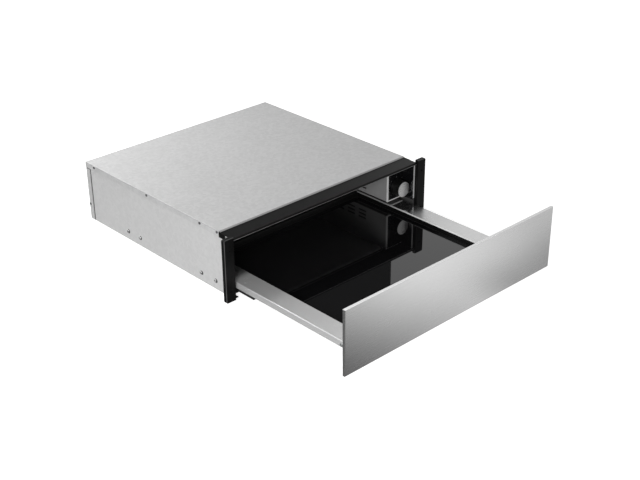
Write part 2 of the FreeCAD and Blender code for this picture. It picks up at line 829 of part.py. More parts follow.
def heating_element():
    """Hairpin tube: two straight legs and a half-round return."""
    radius = element_spacing / 2
    legs = [rod((element_x, element_y - element_tail, fan_z + side * radius), (0, 1, 0),
                element_radius, element_length + element_tail) for side in (-1, 1)]
    ring = Part.makeTorus(radius, element_radius,
                          Vector(element_x, element_y + element_length, fan_z), Vector(1, 0, 0))
    far = element_y + element_length
    half = box((duct_side, wall_inside), (far, far + element_spacing), (duct_floor, casing_height))
    return join(legs + [ring.common(half)])


def heater_bracket():
    """Angle that holds the hairpin above the duct floor."""
    floor = duct_floor + casing_sheet
    top = fan_z + element_spacing / 2 + element_margin
    path = [(element_y, top), (element_y, floor), (element_y + mount_foot, floor)]
    plate = folded(path, bracket_sheet, "yz", (element_x - element_margin, element_x + element_margin))
    for side in (-1, 1):
        plate = plate.cut(rod((element_x, element_y, fan_z + side * element_spacing / 2),
                              (0, 1, 0), element_radius + running_clearance, bracket_sheet))
    return plate


# ---------------------------------------------------------------- runners
def runner_bracket():
    """Channel riveted to the side wall; its inner leg carries the runner."""
    foot = 2 * casing_sheet
    top = foot + bracket_height
    path = [(web_face, top), (web_face, foot), (wall_inside, foot), (wall_inside, top)]
    return folded(path, bracket_sheet, "xz", (runner_setback, runner_setback + runner_length))


def runner_outer():
    """Fixed member: channel open to the drawer, with in-turned lips."""
    half = runner_height / 2
    mouth = web_face - runner_depth
    path = [(mouth, runner_centre - half + runner_lip), (mouth, runner_centre - half),
            (web_face, runner_centre - half), (web_face, runner_centre + half),
            (mouth, runner_centre + half), (mouth, runner_centre + half - runner_lip)]
    return folded(path, runner_sheet, "xz", (runner_setback, runner_setback + runner_length))


def runner_middle():
    """Middle member, between the two rows of balls."""
    mouth = web_face - runner_depth + runner_lip
    path = [(mouth, runner_centre - middle_half), (middle_web, runner_centre - middle_half),
            (middle_web, runner_centre + middle_half), (mouth, runner_centre + middle_half)]
    return folded(path, runner_sheet, "xz", (middle_front, middle_rear))


def runner_inner():
    """Drawer member: small channel screwed to the wall of the tray pan."""
    mouth = middle_web - runner_sheet - middle_web_gap
    path = [(mouth, runner_centre + inner_half), (inner_web, runner_centre + inner_half),
            (inner_web, runner_centre - inner_half), (mouth, runner_centre - inner_half)]
    return folded(path, runner_sheet, "xz", (inner_front, inner_rear))


def ball_cage(web, half, start, length):
    """Cage strip with a row of balls above and below."""
    arm = web - cage_clearance
    middle = half + ball_gap / 2
    mouth = arm - cage_arm
    lower = runner_centre - middle
    upper = runner_centre + middle
    edge = cage_sheet / 2
    path = [(mouth, lower - edge), (arm, lower - edge), (arm, upper + edge), (mouth, upper + edge)]
    cage = folded(path, cage_sheet, "xz", (start, start + length), cage_bend)
    ball_x = (mouth + arm - cage_sheet) / 2
    balls = []
    for index in range(balls_per_row):
        share = index / (balls_per_row - 1)
        y = start + cage_margin + share * (length - 2 * cage_margin)
        for z in (lower, upper):
            half_pocket = ball_diameter / 2 + running_clearance
            cage = cage.cut(box((ball_x - half_pocket, ball_x + half_pocket),
                                (y - half_pocket, y + half_pocket),
                                (z - ball_diameter, z + ball_diameter)))
            balls.append(ball((ball_x, y, z), ball_diameter / 2))
    return group([cage] + balls)


def ball(centre, radius):
    """Faceted ball, lofted through rings of eight corners."""
    rings = []
    for tilt in (-ball_ring_high, -ball_ring_low, ball_ring_low, ball_ring_high):
        size = radius * math.cos(math.radians(tilt))
        height = centre[2] + radius * math.sin(math.radians(tilt))
        corners = [Vector(centre[0] + size * math.cos(math.radians(angle)),
                          centre[1] + size * math.sin(math.radians(angle)), height)
                   for angle in range(0, 360, 360 // ball_sides)]
        rings.append(Part.makePolygon(corners + corners[:1]))
    return Part.makeLoft(rings, True, True)


# ---------------------------------------------------------------- tray
def tray_rail():
    """Flat side rail: skirt outside, drop and glass ledge inside."""
    path = [(rail_outside, deck_height - rail_skirt), (rail_outside, deck_height),
            (rail_inside + rail_bevel, deck_height), (rail_inside, deck_height - rail_bevel),
            (rail_inside, shelf_top), (rail_inside - shelf_width, shelf_top)]
    return folded(path, tray_sheet, "xz", (panel_back, tray_rear))


def front_tray_rail():
    """Cross rail behind the drawer front, with the same drop and ledge."""
    inner = panel_back + front_rail_width
    path = [(inner + shelf_width, shelf_top), (inner, shelf_top),
            (inner, deck_height - rail_bevel), (inner - rail_bevel, deck_height),
            (panel_back, deck_height), (panel_back, deck_height - rail_skirt)]
    rail = folded(path, tray_sheet, "yz", (-rail_inside, rail_inside))
    return rail.cut(side_ledge()).cut(mirrored(side_ledge()))


def side_ledge():
    """Room taken by the ledge of the right side rail."""
    return box((rail_inside - shelf_width, rail_inside), (panel_back, tray_rear),
               (shelf_top - tray_sheet, shelf_top))


def rear_tray_rail():
    """Cross rail at the rear, a mirror image of the front one."""
    inner = tray_rear - rear_rail_width
    path = [(tray_rear, deck_height - rail_skirt), (tray_rear, deck_height),
            (inner + rail_bevel, deck_height), (inner, deck_height - rail_bevel),
            (inner, shelf_top), (inner - shelf_width, shelf_top)]
    rail = folded(path, tray_sheet, "yz", (-rail_inside, rail_inside))
    return rail.cut(side_ledge()).cut(mirrored(side_ledge()))


def tray_pan():
    """Floor pan under the glass; its walls carry the drawer members."""
    top = deck_height - tray_sheet
    wall = inner_web
    path = [(-wall, top), (-wall, pan_floor), (wall, pan_floor), (wall, top)]
    start = panel_back + tray_sheet + bracket_sheet
    stop = tray_rear - tray_sheet
    pan = folded(path, tray_sheet, "xz", (start, stop))
    ledge = shelf_top - tray_sheet
    room = wall - tray_sheet
    ends = [box((-room, room), (start, start + tray_sheet), (pan_floor, ledge)),
            box((-room, room), (stop - tray_sheet, stop), (pan_floor, ledge))]
    return join([pan] + ends)


def glass_outline(half, front, rear, low, high, corner):
    """Rounded rectangular slab."""
    slab = box((-half, half), (front, rear), (low, high))
    edges = [edge for edge in slab.Edges
             if abs(edge.Vertexes[0].Point.z - edge.Vertexes[-1].Point.z) > (high - low) / 2]
    return slab.makeFillet(corner, edges)


def glass_base():
    """Toughened glass floor of the drawer."""
    edge = seal_width + running_clearance
    return glass_outline(seal_outside - edge, seal_front + edge, seal_rear - edge,
                         shelf_top, glass_top, glass_corner)


def glass_seal():
    """Silicone frame between the glass and the rails."""
    outer = glass_outline(seal_outside, seal_front, seal_rear, shelf_top, glass_top + seal_rise,
                          glass_corner)
    inner = glass_outline(seal_outside - seal_width, seal_front + seal_width,
                          seal_rear - seal_width, shelf_top, glass_top + seal_rise, glass_corner)
    return outer.cut(inner)


def runner_screws():
    """Screws from inside the pan into the drawer members."""
    face = inner_web - tray_sheet
    heads = [head((face, y, runner_centre), (-1, 0, 0), screw_radius, screw_head)
             for y in runner_screw_places]
    return group(both(heads))


# ---------------------------------------------------------------- drawer front
def front_panel():
    """Stainless front: a shallow tray with all four edges turned back."""
    half = panel_width / 2
    front = panel_back - panel_thickness
    low = panel_foot
    high = panel_height
    skin = box((-half, half), (front, panel_back), (low, high))
    edges = [edge for edge in skin.Edges if is_front_edge(edge, front)]
    skin = skin.makeFillet(panel_corner, edges)
    hollow = box((-half + panel_skin, half - panel_skin), (front + panel_skin, panel_back),
                 (low + panel_skin, high - panel_skin))
    return skin.cut(hollow)


def is_front_edge(edge, front):
    """True for edges that lie in the front face."""
    return all(abs(vertex.Point.y - front) < panel_skin / 2 for vertex in edge.Vertexes)


def panel_backing():
    """Stiff plate inside the drawer front."""
    half = panel_width / 2 - panel_skin - backing_clearance
    front = panel_back - panel_thickness + panel_skin
    plate = box((-half, half), (front, panel_back),
                (panel_foot + panel_skin + backing_clearance,
                 panel_height - panel_skin - backing_clearance))
    return plate


def panel_bracket():
    """Angle between the drawer front and the skirt of a side rail."""
    skirt = rail_outside - tray_sheet
    path = [(skirt - bracket_foot, panel_back), (skirt, panel_back),
            (skirt, panel_back + bracket_arm)]
    low = deck_height - rail_skirt
    return folded(path, bracket_sheet, "xy", (low, deck_height - tray_sheet - bend_radius))


def panel_adjusters():
    """Bolts through the rail skirts that hold and align the drawer front."""
    bolts = [rod((rail_outside, y, adjuster_height), (1, 0, 0), adjuster_radius, adjuster_head)
             for y in adjuster_places]
    return group(both(bolts))


def panel_buffers():
    """Soft buttons on the back of the front, opposite the flanges."""
    thick = closed_gap - seat_gap
    buttons = [rod((flange_hole_x, panel_back, z), (0, 1, 0), buffer_radius, thick)
               for z in buffer_heights]
    return group(both(buttons))


# ---------------------------------------------------------------- push latch
def push_latch_body():
    """Latch case on the rear panel with the bore the plunger slides in."""
    half = latch_width / 2
    front = rear_inside - latch_length
    case = box((-half, half), (front, rear_inside),
               (latch_centre - latch_height / 2, latch_centre + latch_height / 2))
    bore = rod((0, front, latch_centre), (0, 1, 0), plunger_radius + seat_gap,
               latch_length - latch_wall)
    return case.cut(bore)


def latch_plunger():
    """Cone-nosed plunger that stops against the drawer when it is shut."""
    tip = tray_rear_closed + strike_sheet + seat_gap - latch_stroke
    rear = rear_inside - latch_wall - latch_stroke - seat_gap
    nose = Part.makeCone(plunger_radius - plunger_nose, plunger_radius, plunger_nose,
                         Vector(0, tip, latch_centre), Vector(0, 1, 0))
    pin = rod((0, tip + plunger_nose, latch_centre), (0, 1, 0), plunger_radius,
              rear - tip - plunger_nose)
    return join([nose, pin])


def latch_strike():
    """Plate on the back of the tray that meets the plunger."""
    half = strike_width / 2
    low = deck_height - rail_skirt
    return box((-half, half), (tray_rear, tray_rear + strike_sheet), (low, deck_height - tray_sheet))


def build():
    """Every node of the part."""
    nodes["casing_base"] = casing_base()
    both_sides("side_wall", side_wall())
    nodes["top_cover"] = top_cover()
    nodes["rear_panel"] = rear_panel()
    nodes["front_top_bar"] = front_top_bar()
    both_sides("fixing_flange", fixing_flange())
    nodes["front_sill"] = front_sill()
    nodes["cover_screws"] = cover_screws()
    nodes["rear_panel_screws"] = rear_panel_screws()
    nodes["runner_rivets"] = runner_rivets()
    nodes["cavity_ceiling"] = cavity_ceiling()
    nodes["cavity_left_liner"] = cavity_left_liner()
    nodes["cavity_rear_liner"] = cavity_rear_liner()
    nodes["cavity_insulation"] = cavity_insulation()
    nodes["control_housing"] = control_housing()
    nodes["control_fascia"] = control_fascia()
    nodes["control_side_cheek"] = control_side_cheek()
    nodes["thermostat_body"] = thermostat_body()
    nodes["sensor_bulb"] = sensor_bulb()
    nodes["terminal_block"] = terminal_block()
    nodes["cable_gland"] = cable_gland()
    nodes["knob_body"] = knob_body()
    nodes["knob_disc"] = knob_disc()
    nodes["thermostat_shaft"] = thermostat_shaft()
    nodes["fan_mount"] = fan_mount()
    nodes["fan_motor"] = fan_motor()
    nodes["fan_impeller"] = fan_impeller()
    nodes["heating_element"] = heating_element()
    nodes["heater_bracket"] = heater_bracket()
    both_sides("runner_bracket", runner_bracket())
    both_sides("runner_outer", runner_outer())
    both_sides("runner_middle", runner_middle())
    both_sides("runner_inner", runner_inner())
    both_sides("outer_ball_cage", ball_cage(web_face - runner_sheet, middle_half,
                                            outer_cage_front, outer_cage_length))
    both_sides("inner_ball_cage", ball_cage(middle_web - runner_sheet, inner_half,
                                            inner_cage_front, inner_cage_length))
    both_sides("tray_rail", tray_rail())
    nodes["front_tray_rail"] = front_tray_rail()
    nodes["rear_tray_rail"] = rear_tray_rail()
    nodes["tray_pan"] = tray_pan()
    nodes["glass_base"] = glass_base()
    nodes["glass_seal"] = glass_seal()
    nodes["runner_screws"] = runner_screws()
    nodes["front_panel"] = front_panel()
    nodes["panel_backing"] = panel_backing()
    both_sides("panel_bracket", panel_bracket())
    nodes["panel_adjusters"] = panel_adjusters()
    nodes["panel_buffers"] = panel_buffers()
    nodes["push_latch_body"] = push_latch_body()
    nodes["latch_plunger"] = latch_plunger()
    nodes["latch_strike"] = latch_strike()


build()
os.makedirs("parts", exist_ok=True)
for name, shape in nodes.items():
    shape.exportStep("parts/" + name + ".step")
    print(name, len(shape.Solids), round(shape.Volume), shape.isValid())
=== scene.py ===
# %% [markdown]
# # A built-in warming drawer, dressed for a studio picture
#
# The shape of the appliance comes from its CAD model, which is loaded first and stays as it is.
# This lesson gives every sheet, glass and plastic piece its finish, models the small parts that
# a designer would add last, such as screw heads and the marks round the knob, and then sets up
# the studio.  All lengths are in metres.

# %% Load the CAD model
import bpy
import math
from mathutils import Matrix, Vector


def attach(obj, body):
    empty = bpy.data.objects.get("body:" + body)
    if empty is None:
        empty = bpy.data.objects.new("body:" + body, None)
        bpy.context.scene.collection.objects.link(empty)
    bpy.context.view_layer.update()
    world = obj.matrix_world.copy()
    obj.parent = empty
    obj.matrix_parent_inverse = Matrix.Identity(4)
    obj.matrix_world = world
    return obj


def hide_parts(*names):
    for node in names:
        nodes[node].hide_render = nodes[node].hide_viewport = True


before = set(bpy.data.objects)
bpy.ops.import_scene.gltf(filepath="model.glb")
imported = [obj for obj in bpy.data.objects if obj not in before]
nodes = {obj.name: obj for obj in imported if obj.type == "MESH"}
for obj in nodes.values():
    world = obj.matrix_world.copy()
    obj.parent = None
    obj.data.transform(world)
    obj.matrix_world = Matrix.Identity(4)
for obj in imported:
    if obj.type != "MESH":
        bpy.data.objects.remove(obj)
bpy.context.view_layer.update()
mm = 0.001

# %% [markdown]
# ## The camera
#
# The camera stands to the left of the open drawer and looks down on it, so that the cover, the
# side wall, the glass floor and the steel front all show.  A camera is placed by its position
# and by two angles: azimuth round the object and elevation above the horizon.  The third angle
# is a very small roll.  A long lens keeps the parallel edges of the casing nearly parallel.

# %% Place the camera
def camera_axes(azimuth, elevation, roll):
    """Right, up and backward directions of a camera, from its angles in degrees."""
    a = math.radians(azimuth)
    e = math.radians(elevation)
    r = math.radians(roll)
    back = Vector((math.sin(a) * math.cos(e), -math.cos(a) * math.cos(e), math.sin(e)))
    right = (-back).cross(Vector((0, 0, 1))).normalized()
    up = right.cross(-back)
    turned_right = math.cos(r) * right + math.sin(r) * up
    turned_up = -math.sin(r) * right + math.cos(r) * up
    return turned_right, turned_up, back


def add_camera(position, azimuth, elevation, roll, focal_pixels, picture_width):
    """A perspective camera whose focal length is given in pixels of the picture."""
    lens = bpy.data.cameras.new("studio_camera")
    lens.sensor_width = 36.0
    lens.lens = focal_pixels / picture_width * lens.sensor_width
    lens.clip_end = 50.0
    camera = bpy.data.objects.new("studio_camera", lens)
    bpy.context.scene.collection.objects.link(camera)
    right, up, back = camera_axes(azimuth, elevation, roll)
    turn = Matrix((right, up, back)).transposed().to_4x4()
    camera.matrix_world = Matrix.Translation(Vector(position)) @ turn
    bpy.context.scene.camera = camera
    return camera


camera = add_camera((-1.5290, -1.6097, 1.1982), -43.024, 27.586, -0.438, 1181.07, 640)
print("lens", round(camera.data.lens, 2), "mm")

# %% [markdown]
# ## Shader maths as Python
#
# A finish is a network of nodes.  Wiring each one by hand is slow to read, so `Value` wraps one
# number socket and lets it take part in sums: `1 - mask * 0.3` adds the Math nodes for us.
# `Network` adds any other node through one method.  A `Finish` is the network of a material.

# %% Small helpers for materials
class Value:
    """A number that varies over a surface, usable in Python sums."""

    def __init__(self, network, socket):
        self.network = network
        self.socket = socket

    def math(self, operation, first, second):
        return self.network.math_of(operation, first, second)

    def __add__(self, other):
        return self.math("ADD", self, other)

    def __radd__(self, other):
        return self.math("ADD", other, self)

    def __sub__(self, other):
        return self.math("SUBTRACT", self, other)

    def __rsub__(self, other):
        return self.math("SUBTRACT", other, self)

    def __mul__(self, other):
        return self.math("MULTIPLY", self, other)

    def __rmul__(self, other):
        return self.math("MULTIPLY", other, self)


class Network:
    """The nodes of a material or of the world."""

    def __init__(self, tree):
        self.tree = tree

    def feed(self, socket, value):
        """Link a socket or a Value, or set a plain number, colour or vector."""
        if isinstance(value, Value):
            value = value.socket
        if isinstance(value, bpy.types.NodeSocket):
            self.tree.links.new(value, socket)
        else:
            socket.default_value = value

    def add(self, kind, settings=None, inputs=None):
        """A node of any type: its settings first, then the values or links of its sockets."""
        node = self.tree.nodes.new(kind)
        for key, value in (settings or {}).items():
            setattr(node, key, value)
        for key, value in (inputs or {}).items():
            self.feed(node.inputs[key], value)
        return node

    def value(self, kind, output, settings=None, inputs=None):
        """One output of a new node, ready for sums."""
        return Value(self, self.add(kind, settings, inputs).outputs[output])

    def math_of(self, operation, first, second=0.0):
        """A Math node, also for what has no Python sign, such as a sine."""
        return self.value("ShaderNodeMath", 0, {"operation": operation}, {0: first, 1: second})


class Finish(Network):
    """One material and the nodes that make it."""

    def __init__(self, name, **shader):
        self.material = bpy.data.materials.new(name)
        self.material.use_nodes = True
        super().__init__(self.material.node_tree)
        self.shader = self.tree.nodes["Principled BSDF"]
        for socket, value in shader.items():
            self.feed(self.shader.inputs[socket.replace("_", " ")], value)
        self.place = self.add("ShaderNodeTexCoord").outputs["Object"]

    def stretched(self, scale):
        """Object coordinates scaled along each axis, so that a pattern runs in a direction."""
        return self.add("ShaderNodeMapping", {"vector_type": "POINT"},
                        {"Vector": self.place, "Scale": scale}).outputs[0]

    def noise(self, scale, detail=2.0, roughness=0.5, stretch=(1, 1, 1)):
        return self.value("ShaderNodeTexNoise", "Fac", {}, {"Vector": self.stretched(stretch),
                          "Scale": scale, "Detail": detail, "Roughness": roughness})

    def cells(self, scale):
        """A random number for each cell of a Voronoi pattern."""
        node = self.add("ShaderNodeTexVoronoi", {}, {"Vector": self.place, "Scale": scale})
        return self.value("ShaderNodeSeparateColor", 0, {}, {0: node.outputs["Color"]})

    def along(self, axis):
        """One coordinate of the place on the piece, in metres."""
        return self.value("ShaderNodeSeparateXYZ", axis, {}, {0: self.place})

    def smooth(self, amount, low, high):
        """0 below low, 1 above high, and a soft step between them."""
        return self.value("ShaderNodeMapRange", 0, {"interpolation_type": "SMOOTHSTEP"},
                          {"Value": amount, "From Min": low, "From Max": high})

    def between(self, amount, low, high):
        """Colour between two colours, each a grey, a triple or the output of another node."""
        node = self.add("ShaderNodeMix", {"data_type": "RGBA"}, {0: amount})
        for socket, colour in ((6, low), (7, high)):
            if isinstance(colour, float):
                colour = (colour, colour, colour)
            self.feed(node.inputs[socket], (*colour, 1) if isinstance(colour, tuple) else colour)
        return node.outputs[2]

    def above(self, amount, limit):
        """1 where the amount is over the limit, and 0 elsewhere."""
        return self.math_of("GREATER_THAN", amount, limit)

    def below(self, amount, limit):
        """1 where the amount is under the limit, and 0 elsewhere."""
        return self.math_of("LESS_THAN", amount, limit)

    def off_centre(self):
        """Distance from the plane that halves the drawer."""
        return self.math_of("ABSOLUTE", self.along(0))

    def bump(self, height, distance, strength=1.0):
        node = self.add("ShaderNodeBump", {}, {"Height": height, "Distance": distance,
                        "Strength": strength})
        self.feed(self.shader.inputs["Normal"], node.outputs[0])

    def colour(self, value):
        self.feed(self.shader.inputs["Base Color"], value)

    def roughness(self, value):
        self.feed(self.shader.inputs["Roughness"], value)

    def metallic(self, value):
        self.feed(self.shader.inputs["Metallic"], value)


def paint(finish, *names):
    """Give CAD nodes or new pieces this finish in every material slot."""
    for name in names:
        piece = nodes.get(name) or bpy.data.objects[name]
        piece.data.materials.clear()
        piece.data.materials.append(finish.material)
    print(finish.material.name, "on", len(names), "pieces")


# %% [markdown]
# ## Modelling by hand, in code
#
# The small parts are made with the same operators that a person would click: a primitive, then
# insets, extrusions and bevels in edit mode.  Every operator works on what is selected, so one
# helper clears the selection, and another selects faces by a rule about their place or normal.

# %% Tools for modelling
def clear_selection():
    bpy.ops.object.select_all(action="DESELECT")


def activate(piece):
    clear_selection()
    piece.select_set(True)
    bpy.context.view_layer.objects.active = piece


def select_faces(piece, rule):
    """Go to edit mode with the faces that obey the rule selected."""
    activate(piece)
    bpy.ops.object.mode_set(mode="EDIT")
    bpy.ops.mesh.select_mode(type="FACE")
    bpy.ops.mesh.select_all(action="DESELECT")
    bpy.ops.object.mode_set(mode="OBJECT")
    for face in piece.data.polygons:
        face.select = rule(face)
    bpy.ops.object.mode_set(mode="EDIT")


def leave_edit_mode():
    bpy.ops.object.mode_set(mode="OBJECT")


def disc(name, radius, height, sides):
    """A low cylinder that stands on the plane z = 0 and points up."""
    clear_selection()
    bpy.ops.mesh.primitive_cylinder_add(vertices=sides, radius=radius, depth=height,
                                        location=(0, 0, height / 2))
    piece = bpy.context.active_object
    piece.name = name
    piece.data.name = name
    bpy.ops.object.transform_apply(location=True, rotation=True, scale=True)
    return piece


def is_top(face, height):
    return face.normal.z > 0.9 and face.center.z > height * 0.99


def apply_modifier(piece, kind, **settings):
    """Add a modifier, set it and apply it."""
    activate(piece)
    modifier = piece.modifiers.new(kind.lower(), kind)
    for key, value in settings.items():
        setattr(modifier, key, value)
    bpy.ops.object.modifier_apply(modifier=modifier.name)


def place_copies(master, name, places, body, slot, *replaced):
    """Copy a piece that points up to each (position, direction), as one object of one body."""
    made = []
    for position, direction in places:
        activate(master)
        bpy.ops.object.duplicate()
        copy = bpy.context.active_object
        copy.rotation_euler = Vector(direction).to_track_quat("Z", "Y").to_euler()
        copy.location = position
        bpy.ops.object.transform_apply(location=True, rotation=True, scale=True)
        made.append(copy)
    clear_selection()
    for copy in made:
        copy.select_set(True)
    bpy.context.view_layer.objects.active = made[0]
    bpy.ops.object.join()
    piece = bpy.context.active_object
    piece.name = name
    piece.data.name = name
    bpy.ops.object.shade_smooth_by_angle(angle=math.radians(30))
    bpy.data.objects.remove(master)
    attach(piece, body)
    if replaced:
        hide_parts(*replaced)
    print(name, "has", len(places), "copies and", len(piece.data.polygons), "faces")


# %% [markdown]
# ## Cross-head screws
#
# The cover and the rear panel are held by small pan-head screws.  A pan head is a low cylinder
# whose rim is rounded, with a cross cut in its crown.  The rim is a bevel on the top face's
# edges.  The cross is a cutter with four arms, taken away by a Boolean modifier.

# %% Model one screw head and copy it
def cross_cutter(arm, width, low, high):
    """A plus-shaped bar: a square column whose four sides are pulled outwards."""
    clear_selection()
    bpy.ops.mesh.primitive_cube_add(size=1.0, location=(0, 0, (low + high) / 2))
    cutter = bpy.context.active_object
    cutter.scale = (width, width, high - low)
    bpy.ops.object.transform_apply(location=True, rotation=True, scale=True)
    for axis in (0, 1):
        for sign in (-1, 1):
            select_faces(cutter, lambda face: face.normal[axis] * sign > 0.9
                         and abs(face.center[axis]) < width)
            move = [0.0, 0.0, 0.0]
            move[axis] = sign * (arm - width / 2)
            bpy.ops.mesh.extrude_region_move(TRANSFORM_OT_translate={"value": move})
            leave_edit_mode()
    return cutter


def pan_head(radius, height):
    """Pan head with a cross recess."""
    head = disc("pan_head", radius, height, 24)
    select_faces(head, lambda face: is_top(face, height))
    bpy.ops.mesh.bevel(offset=height * 0.55, segments=3, affect="EDGES")
    leave_edit_mode()
    cutter = cross_cutter(radius * 0.62, radius * 0.24, height * 0.35, height * 1.5)
    apply_modifier(head, "BOOLEAN", operation="DIFFERENCE", solver="EXACT", object=cutter)
    bpy.data.objects.remove(cutter)
    return head


screw_radius = 3.0 * mm
screw_height = 1.4 * mm
skirt_face = 265 * mm
skirt_screw_height = 136 * mm
cover_places = []
for y in (42.2 * mm, 96.9 * mm, 277.2 * mm, 473.5 * mm):
    cover_places.append(((skirt_face, y, skirt_screw_height), (1, 0, 0)))
    cover_places.append(((-skirt_face, y, skirt_screw_height), (-1, 0, 0)))
place_copies(pan_head(screw_radius, screw_height), "cover_screw_heads", cover_places,
             "casing", "fastener_zinc", "cover_screws")

rear_face = 508 * mm
wrap_screw = (503 * mm, 38 * mm)
foot_screw_height = 5.5 * mm
rear_places = [((side * skirt_face, *wrap_screw), (side, 0, 0)) for side in (-1, 1)]
for x in (-180 * mm, 0, 180 * mm):
    rear_places.append(((x, rear_face, foot_screw_height), (0, 1, 0)))
place_copies(pan_head(screw_radius, screw_height), "rear_screw_heads", rear_places,
             "casing", "fastener_zinc", "rear_panel_screws")

# %% [markdown]
# ## Blind rivets
#
# The runner brackets are riveted to the side walls.  A blind rivet leaves a flat dome with a
# small hole in its middle, where the pulling pin broke off.  The dome is a bevelled disc, and
# the hole is an inset of the crown that is pushed down.

# %% Model one rivet and copy it
def rivet(radius, height):
    """Domed rivet head with the hole of its broken pin."""
    dome = disc("rivet", radius, height, 24)
    select_faces(dome, lambda face: is_top(face, height))
    bpy.ops.mesh.bevel(offset=height * 0.85, segments=4, affect="EDGES")
    leave_edit_mode()
    select_faces(dome, lambda face: is_top(face, height))
    bpy.ops.mesh.inset(thickness=radius * 0.35)
    bpy.ops.mesh.extrude_region_move(TRANSFORM_OT_translate={"value": (0, 0, -height * 0.7)})
    leave_edit_mode()
    return dome


wall_face = 264 * mm
runner_height = 20.4 * mm
rivet_rows = (56.6 * mm, 103.3 * mm, 317.0 * mm, 361.0 * mm)
rivet_places = []
for y in rivet_rows:
    rivet_places.append(((wall_face, y, runner_height), (1, 0, 0)))
    rivet_places.append(((-wall_face, y, runner_height), (-1, 0, 0)))
place_copies(rivet(3.3 * mm, 1.9 * mm), "runner_rivet_heads", rivet_places,
             "casing", "fastener_zinc", "runner_rivets")

# %% [markdown]
# ## Adjusting bolts
#
# A bolt on each side of the drawer lets the front be lined up with its neighbours.  It is turned
# with a hexagon key, so its crown has a six-sided pocket, cut with a six-sided column.

# %% Model the adjusting bolts
def socket_bolt(radius, height):
    """Round bolt head with a hexagon pocket."""
    bolt = disc("socket_bolt", radius, height, 32)
    select_faces(bolt, lambda face: is_top(face, height))
    bpy.ops.mesh.bevel(offset=height * 0.25, segments=3, affect="EDGES")
    leave_edit_mode()
    key = disc("key", radius * 0.52, height * 2, 6)
    select_faces(key, lambda face: True)
    bpy.ops.transform.translate(value=(0, 0, height * 0.35))
    leave_edit_mode()
    apply_modifier(bolt, "BOOLEAN", operation="DIFFERENCE", solver="EXACT", object=key)
    bpy.data.objects.remove(key)
    return bolt


rail_face = 258 * mm
bolt_place = (-304 * mm, 30.5 * mm)
bolt_places = [((side * rail_face, *bolt_place), (side, 0, 0)) for side in (-1, 1)]
place_copies(socket_bolt(3.6 * mm, 2.0 * mm), "adjusting_bolts", bolt_places,
             "drawer", "fastener_zinc", "panel_adjusters")

# %% [markdown]
# ## Dial marks
#
# Eight short marks stand round the knob.  They are printed on the real fascia, a few hundredths
# of a millimetre thick.  Here each is a thin bar with rounded ends, made in a loop and turned
# to its place.  The first, straight above the knob, is the off position and is longer.

# %% Model the dial marks
knob_axis = Vector((241.5 * mm, 0, 73.7 * mm))
fascia_front = 34.0 * mm


def dial_mark(length, width, thickness):
    """A thin bar that lies on the plane z = 0, with its long side along Y."""
    clear_selection()
    bpy.ops.mesh.primitive_cube_add(size=1.0, location=(0, 0, thickness / 2))
    bar = bpy.context.active_object
    bar.scale = (width, length, thickness)
    bpy.ops.object.transform_apply(location=True, rotation=True, scale=True)
    select_faces(bar, lambda face: abs(face.normal.y) > 0.9)
    bpy.ops.mesh.bevel(offset=width * 0.3, segments=2, affect="EDGES")
    leave_edit_mode()
    return bar


def turn_mark(bar, angle, radius):
    """Stand the bar on the fascia, at an angle round the knob."""
    outward = Vector((math.sin(angle), 0, math.cos(angle)))
    across = outward.cross(Vector((0, -1, 0)))
    turn = Matrix((across, outward, Vector((0, -1, 0)))).transposed().to_4x4()
    spot = knob_axis + outward * radius
    spot.y = fascia_front
    bar.matrix_world = Matrix.Translation(spot) @ turn
    activate(bar)
    bpy.ops.object.transform_apply(location=True, rotation=True, scale=True)


mark_count = 8
mark_ring = 24.2 * mm
marks = []
for step in range(mark_count):
    bar = dial_mark(3.4 * mm if step == 0 else 2.4 * mm, 1.1 * mm, 0.05 * mm)
    turn_mark(bar, 2 * math.pi * step / mark_count, mark_ring)
    marks.append(bar)
clear_selection()
for bar in marks:
    bar.select_set(True)
bpy.context.view_layer.objects.active = marks[0]
bpy.ops.object.join()
dial_marks = bpy.context.active_object
dial_marks.name = "dial_marks"
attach(dial_marks, "casing")
print("dial marks:", len(dial_marks.data.polygons), "faces")

# %% [markdown]
# ## Galvanised sheet
#
# The casing is folded from zinc-coated steel.  Zinc freezes in crystals a few millimetres wide,
# and each one reflects a little differently, which gives the grey its cloudy spangle.  A Voronoi
# pattern gives the crystals, a broad noise gives the slow clouds, and a fine noise the grain.
# The crystals and the clouds also change the roughness, because that is what the eye really
# sees on zinc.  The surface oxidises to a dull skin, so the shader is only partly metallic.

# %% Make the galvanised finishes
def galvanised_finish(name, dark, light, metallic, painted_shade=None, shade=0.3):
    """Zinc; the optional mask gives how much painted shade, in the colour shade, a spot has."""
    zinc = Finish(name, Metallic=metallic)
    crystals = zinc.cells(170.0)
    clouds = zinc.noise(9.0, 3.0)
    grain = zinc.noise(2400.0, 2.0, 0.7)
    tone = crystals * 0.45 + clouds * 0.25 + grain * 0.3
    skin = zinc.between(tone, dark, light)
    if painted_shade:
        skin = zinc.between(painted_shade(zinc), skin, shade)
    zinc.colour(skin)
    zinc.roughness(0.46 + 0.08 * crystals + 0.06 * clouds)
    zinc.bump(grain * 0.6 + crystals * 0.4, 0.00003, 0.4)
    return zinc


lip_end = 36.9 * mm           # the cover's flat top starts here
lip_foot = 137 * mm
bend_start = 137.8 * mm       # the cover's sides bend down from here
wrap_start = 489.6 * mm       # the rear panel laps over the walls from here
front_fold = 0.6 * mm
hem_end = 36 * mm


def cover_edge_shade(zinc):
    """Painted shade on the sloping lip in front of the cover's fold, and faintly on its sides and
    their bends.
    """
    lip = zinc.below(zinc.along(1), lip_end) * zinc.above(zinc.along(2), lip_foot)
    skirt = zinc.above(zinc.off_centre(), skirt_face - 1.1 * mm)
    bend = zinc.above(zinc.off_centre(), skirt_face - 1.7 * mm)
    bend = bend * zinc.above(zinc.along(2), bend_start)
    return lip + skirt * 0.08 + bend * 0.4


